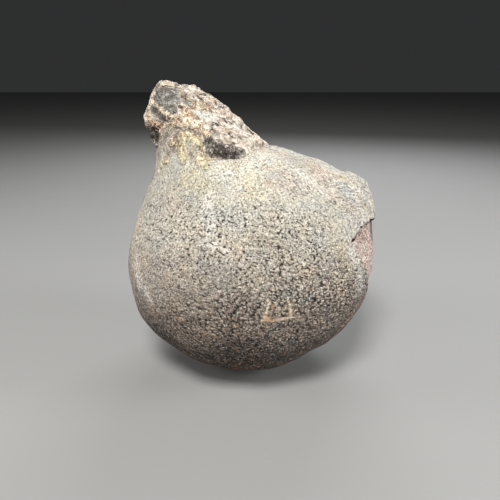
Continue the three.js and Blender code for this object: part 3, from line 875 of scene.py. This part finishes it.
    # painted shade between the knobs and painted light on their domed tops
    light = n.times(light, n.math("MULTIPLY_ADD", n.times(n.minus(body, 0.57), knobbly), 1.75, 1.0))
    wall = n.mix(1.0, wall, n.join(light, light, light), "MULTIPLY")
    warm = n.times(n.step(0.70, 0.98, tint[1]), knobbly, 0.40)
    wall = n.mix(warm, wall, (0.40, 0.28, 0.205))
    # pale grains, brightened further as painted highlights on the grain tops
    pale_grain_and_highlight = n.times(n.step(0.60, 0.72, speck), n.math("MULTIPLY_ADD", n.math("MAXIMUM", f["pits"], f["plates"]), 0.45, 0.25))
    wall = n.mix(pale_grain_and_highlight, wall, (0.70, 0.685, 0.62))
    glint = n.times(n.step(0.64, 0.71, grain), n.math("MULTIPLY_ADD", f["plates"], 0.65, 0.10))
    wall = n.mix(glint, wall, (0.84, 0.80, 0.73))

    def soft(field, edge_lo, edge_hi, break_up):
        return n.step(edge_lo, edge_hi, n.plus(f[field], centred(n, mottle, break_up), centred(n, speck, break_up * 0.9)))

    wall = n.mix(soft("pink", -1.6, 1.6, 1.6), wall, n.mix(1.0, wall, (0.93, 0.865, 0.865), "MULTIPLY"))
    wall = n.mix(soft("blue", -1.4, 1.4, 1.6), wall, n.mix(1.0, wall, (0.90, 0.935, 0.955), "MULTIPLY"))
    wall = n.mix(soft("gold", -1.6, 1.6, 1.6), wall, n.mix(1.0, wall, (1.0, 0.97, 0.86), "MULTIPLY"))
    wall = n.mix(n.times(soft("pale", -0.4, 1.2, 1.8), 0.58), wall, n.mix(n.step(0.42, 0.54, speck), (0.33, 0.31, 0.28), (0.72, 0.70, 0.65)))
    ruddy = n.times(n.step(34.0, 14.0, pz), n.step(0.47, 0.60, n.noise(n.vec("ADD", p, (9.0, 2.0, 4.0)), 15.0, 3.0, 0.6)))
    wall = n.mix(ruddy, wall, n.mix(1.0, wall, (1.22, 0.95, 0.82), "MULTIPLY"))
    # dark stains, partly painted shadow under the crusts
    wall = n.mix(n.times(soft("stain_and_shadow", 0.0, 0.5, 1.8), 0.70), wall, (0.13, 0.105, 0.085))
    coarse_skin = n.ramp(n.plus(n.times(grain, 0.35), n.times(speck, 0.35), n.times(mottle, 0.30)), [(0.41, (0.030, 0.024, 0.020)), (0.465, (0.12, 0.098, 0.078)), (0.52, (0.25, 0.210, 0.168)), (0.60, (0.50, 0.44, 0.37))])
    wall = n.mix(n.times(n.step(-0.6, 0.9, n.plus(f["neck"], centred(n, mottle, 2.0), centred(n, speck, 2.0))), 0.92), wall, coarse_skin)
    # painted shade in the pores and creases, standing in for the shadow inside them
    wall = n.mix(n.times(crease, 0.80), wall, (0.036, 0.030, 0.026))
    wall = n.mix(n.times(pit, 0.95), wall, (0.014, 0.012, 0.010))

    # ---- filling behind the broken wall
    deep = n.join(px, n.times(py, 0.55), n.times(pz, 1.15))
    crumb = n.noise(deep, 0.68, 1.0, 0.5)
    crumb_2 = n.noise(n.vec("ADD", deep, (4.0, 7.0, 2.0)), 0.85, 2.0, 0.6)
    core = n.ramp(n.noise(n.vec("ADD", deep, (1.0, 2.0, 5.0)), 3.0, 2.0, 0.6), [(0.36, (0.24, 0.145, 0.120)), (0.50, (0.41, 0.280, 0.235)), (0.62, (0.57, 0.425, 0.365))])
    core = n.mix(n.times(n.step(0.55, 0.62, crumb), 0.9), core, (0.86, 0.78, 0.71))
    core = n.mix(n.times(n.step(0.46, 0.40, crumb_2), 0.88), core, (0.065, 0.042, 0.036))
    core = n.mix(n.times(n.step(0.50, 0.62, patch), 0.4), core, (0.42, 0.38, 0.35))

    # ---- rough nodules of the clinging rock and of the crusts
    stir = n.vec("ADD", p, n.vec("SCALE", n.vec("SUBTRACT", n.noise(p, 2.8, 2.0, 0.55, colour=True), (0.5, 0.5, 0.5)), scale=1.6))
    lobe = n.voronoi(stir, 2.4, "F1", 1.0, "3D")
    lobe_2 = n.voronoi(n.vec("ADD", stir, (4.0, 2.0, 7.0)), 1.15, "F1", 1.0, "3D")
    shade = n.split(lobe.outputs["Color"])
    shade_2 = n.split(lobe_2.outputs["Color"])
    knot = n.math("SUBTRACT", 1.0, n.math("POWER", n.times(lobe.outputs["Distance"], 1.0 / 0.85), 2.0), clamp=True)
    knot_2 = n.math("SUBTRACT", 1.0, n.math("POWER", n.times(lobe_2.outputs["Distance"], 1.0 / 0.85), 2.0), clamp=True)
    nodules = n.plus(n.times(knot, 0.75), n.times(knot_2, 0.30))
    between_lobes = n.step(0.66, 0.84, n.plus(lobe.outputs["Distance"], centred(n, speck, 0.5), centred(n, lump, 0.5)))

    # ---- clinging rock
    rock = n.ramp(n.plus(n.times(mottle, 0.25), n.times(lump, 0.20), n.times(speck, 0.25), n.times(grain, 0.18), n.times(shade[0], 0.06), n.times(shade_2[0], 0.06)), [(0.38, (0.075, 0.060, 0.050)), (0.45, (0.245, 0.210, 0.175)), (0.515, (0.47, 0.420, 0.355)), (0.59, (0.72, 0.67, 0.585))])
    rosy = n.step(0.48, 0.62, n.noise(n.vec("ADD", p, (3.0, 17.0, 9.0)), 5.0, 3.0, 0.6))
    rock = n.mix(n.times(rosy, 0.50), rock, (0.44, 0.33, 0.26))
    slate = soft("slate", -0.02, 0.22, 0.9)
    dark = soft("dark", -0.02, 0.30, 1.2)
    gloom = n.ramp(n.plus(n.times(grain, 0.3), n.times(speck, 0.4), n.times(mottle, 0.3)), [(0.41, (0.010, 0.008, 0.007)), (0.49, (0.033, 0.027, 0.024)), (0.545, (0.115, 0.098, 0.086)), (0.60, (0.50, 0.45, 0.40))])
    plain = n.ramp(n.plus(n.times(grain, 0.45), n.times(speck, 0.25), n.times(mottle, 0.30)), [(0.40, (0.028, 0.026, 0.024)), (0.47, (0.076, 0.073, 0.067)), (0.535, (0.145, 0.140, 0.127)), (0.61, (0.45, 0.43, 0.39))])
    rock = n.mix(n.times(slate, 0.92), rock, plain)
    # stains and painted shadow on the filling beside the lip and on the rock
    core = n.mix(n.times(soft("stain_and_shadow", -0.1, 0.3, 0.9), 0.88), core, plain)
    rock = n.mix(n.times(soft("blue", -0.05, 0.35, 1.0), 0.75), rock, n.ramp(n.plus(n.times(grain, 0.5), n.times(speck, 0.5)), [(0.38, (0.16, 0.15, 0.135)), (0.48, (0.42, 0.42, 0.39)), (0.62, (0.62, 0.61, 0.57))]))
    rock = n.mix(n.times(soft("stain_and_shadow", -0.2, 0.9, 1.8), 0.62), rock, n.mix(1.0, rock, (0.42, 0.36, 0.32), "MULTIPLY"))
    # dark rock, partly painted shadow under the ledge and the hanging slab
    rock = n.mix(n.times(dark, 0.94), rock, gloom)
    # small dark hollows between the nodules: painted shade
    hollow = n.times(between_lobes, n.step(0.44, 0.56, n.noise(n.vec("ADD", p, (7.0, 2.0, 1.0)), 4.5, 2.0, 0.6)), n.minus(1.0, n.times(slate, 0.8)))
    rock = n.mix(n.times(hollow, 0.80), rock, (0.045, 0.036, 0.030))
    # painted shade between the rock's nodules and painted light on their tops
    nodule_shading = n.math("MULTIPLY_ADD", n.minus(nodules, 0.55), n.math("MULTIPLY_ADD", slate, -0.40, 0.75), 1.0)
    rock = n.mix(1.0, rock, n.join(nodule_shading, nodule_shading, nodule_shading), "MULTIPLY")

    both = n.mix(on_core, wall, core)
    both = n.mix(on_rock, both, rock)
    # cream, ochre and orange crusts, the reddish broken edge and the thin vein
    cream = soft("cream", -0.1, 0.55, 1.4)
    both = n.mix(n.times(cream, 0.88), both, n.ramp(n.plus(n.times(speck, 0.6), n.times(lump, 0.4)), [(0.40, (0.20, 0.135, 0.088)), (0.47, (0.55, 0.42, 0.29)), (0.54, (0.72, 0.61, 0.46)), (0.62, (0.82, 0.75, 0.62))]))
    rust = soft("rust", 0.05, 0.5, 1.6)
    both = n.mix(n.times(rust, 0.80), both, n.ramp(speck, [(0.38, (0.13, 0.060, 0.034)), (0.50, (0.38, 0.235, 0.15)), (0.62, (0.68, 0.53, 0.40))]))
    yellow = n.step(0.10, 0.60, n.plus(f["yellow"], centred(n, mottle, 1.3), centred(n, lump, 1.2), centred(n, speck, 1.5)))
    both = n.mix(n.times(yellow, 0.82), both, n.ramp(n.plus(n.times(speck, 0.6), n.times(mottle, 0.4)), [(0.40, (0.15, 0.10, 0.060)), (0.46, (0.36, 0.275, 0.160)), (0.53, (0.56, 0.47, 0.30)), (0.61, (0.78, 0.71, 0.52))]))
    both = n.mix(n.times(soft("edge", -0.05, 0.35, 1.0), 0.85), both, n.ramp(speck, [(0.40, (0.12, 0.045, 0.032)), (0.52, (0.30, 0.145, 0.105)), (0.62, (0.52, 0.40, 0.32))]))
    crusty = n.math("MAXIMUM", n.math("MAXIMUM", cream, rust), yellow)
    # the same painted shade and light over the crusts' nodules
    nodule_shading = n.math("MULTIPLY_ADD", n.minus(nodules, 0.60), 0.65, 1.0)
    both = n.mix(crusty, both, n.mix(1.0, both, n.join(nodule_shading, nodule_shading, nodule_shading), "MULTIPLY"))
    ragged = n.plus(f["vein"], centred(n, speck, 1.6), centred(n, mottle, 1.6))
    vein = n.step(0.80, 0.45, ragged)
    both = n.mix(n.times(n.step(1.5, 0.7, ragged), 0.38), both, (0.36, 0.22, 0.13))
    both = n.mix(vein, both, n.ramp(n.plus(n.times(grain, 0.5), n.times(mottle, 0.5)), [(0.40, (0.45, 0.26, 0.14)), (0.49, (0.72, 0.60, 0.45)), (0.58, (0.86, 0.80, 0.70))]))

    # ---- crack beside the broken rim and the gashes, painted dark as the shade inside them
    rim = n.plus(f["window"], centred(n, mottle, 1.8))
    crack = n.times(n.step(-0.45, 0.05, rim), n.step(0.85, 0.30, rim), n.step(0.40, 0.55, n.noise(p, 9.0, 2.0, 0.6)))
    crack = n.math("MAXIMUM", crack, soft("gash", 0.0, 0.35, 0.8))
    both = n.mix(n.times(crack, n.minus(1.0, on_rock)), both, (0.022, 0.018, 0.016))

    # ---- relief, in mm
    quiet = n.math("MULTIPLY_ADD", f["calm"], -0.20, 1.0)
    rough_h = n.times(n.plus(n.times(grain, 0.36), n.times(speck, 0.62), n.times(lump, 0.55), n.times(mottle, 0.8)), quiet)
    wall_h = n.plus(n.times(dome, knobbly, 0.36), n.times(dome_2, knobbly, 0.17), n.times(swell, knobbly, 0.50), n.times(tint[2], knobbly, 0.16), n.times(crease, -0.30), n.times(pit, -0.55), rough_h, n.times(streak, f["calm"], n.step(-6.0, 24.0, px), 1.4))
    core_h = n.plus(n.times(crumb, 0.5), n.times(crumb_2, 0.9), n.times(mottle, 0.8), n.times(crack, -0.6))
    rock_h = n.plus(n.times(grain, 0.30), n.times(speck, 0.7), n.times(lump, 0.9), n.times(mottle, 1.5), n.times(nodules, 0.55), n.times(hollow, -0.25))
    rock_h = n.blend(slate, rock_h, n.plus(n.times(grain, 0.30), n.times(speck, 0.55), n.times(mottle, 0.8), 1.1))
    relief = n.blend(on_core, wall_h, core_h)
    relief = n.blend(on_rock, relief, rock_h)
    crust = n.math("MAXIMUM", n.math("MAXIMUM", f["yellow"], f["cream"]), f["rust"])
    crust = n.step(-0.25, 0.75, n.plus(crust, centred(n, mottle, 1.2)))
    relief = n.plus(relief, n.times(vein, 0.25), n.times(crust, n.plus(n.times(speck, 0.8), n.times(nodules, 0.60), 0.1)))
    bump = n.add("ShaderNodeBump")
    bump.inputs["Strength"].default_value = 1.0
    bump.inputs["Distance"].default_value = 0.001
    n.put(bump.inputs["Height"], relief)
    n.put(n.shader.inputs["Normal"], bump.outputs[0])
    n.put(n.shader.inputs["Base Color"], both)
    rough = n.plus(0.84, n.times(grain, 0.20), n.times(on_core, -0.06), n.times(n.math("MAXIMUM", dark, slate), -0.08))
    n.put(n.shader.inputs["Roughness"], rough)
    n.shader.inputs["Specular IOR Level"].default_value = 0.30
    return n.material


stone_look = stone_material("fossil_limestone")
for piece in (wall_piece, rock_piece):
    piece.data.materials.append(stone_look)
    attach(piece, "root")
    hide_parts("lobolite")

# ------------------------------------------------------------------ floor and light
floor_data = bpy.data.meshes.new("floor")
floor_data.from_pydata([(-3, -3, 0), (3, -3, 0), (3, 3, 0), (-3, 3, 0)], [], [(0, 1, 2, 3)])
floor = bpy.data.objects.new("floor", floor_data)
bpy.context.scene.collection.objects.link(floor)
floor_mat = bpy.data.materials.new("floor")
floor_mat.use_nodes = True
floor_mat.node_tree.nodes["Principled BSDF"].inputs["Base Color"].default_value = (0.25, 0.25, 0.247, 1)
floor_mat.node_tree.nodes["Principled BSDF"].inputs["Roughness"].default_value = 0.85
floor_data.materials.append(floor_mat)


def lamp(name, at, to, size, watts, colour=(1, 1, 1)):
    data = bpy.data.lights.new(name, "AREA")
    data.shape = "RECTANGLE"
    data.size, data.size_y = size
    data.energy = watts
    data.color = colour
    obj = bpy.data.objects.new(name, data)
    obj.location = at
    obj.rotation_euler = (Vector(to) - Vector(at)).to_track_quat("-Z", "Y").to_euler()
    bpy.context.scene.collection.objects.link(obj)


lamp("key", (-0.10, -0.46, 0.70), (0.0, 0.0, 0.07), (0.22, 0.20), 8.8, (1.0, 0.985, 0.955))
lamp("front", (0.06, -0.80, 0.24), (0.0, 0.0, 0.06), (0.25, 0.20), 0.8, (1.0, 0.985, 0.955))
lamp("right", (0.62, -0.10, 0.24), (0.0, 0.0, 0.08), (0.22, 0.30), 3.6, (0.985, 0.985, 0.985))
lamp("left", (-0.60, -0.06, 0.28), (0.0, 0.0, 0.08), (0.25, 0.35), 1.9, (1.0, 0.985, 0.96))
lamp("back", (0.15, 0.60, 0.50), (0.0, 0.0, 0.08), (0.5, 0.3), 4.0, (0.97, 0.985, 1.0))
world = bpy.data.worlds.new("world")
world.use_nodes = True
world.node_tree.nodes["Background"].inputs["Color"].default_value = (0.93, 0.95, 0.97, 1)
world.node_tree.nodes["Background"].inputs["Strength"].default_value = 0.03
bpy.context.scene.world = world
bpy.context.scene.view_settings.view_transform = "Standard"
bpy.context.scene.view_settings.look = "None"
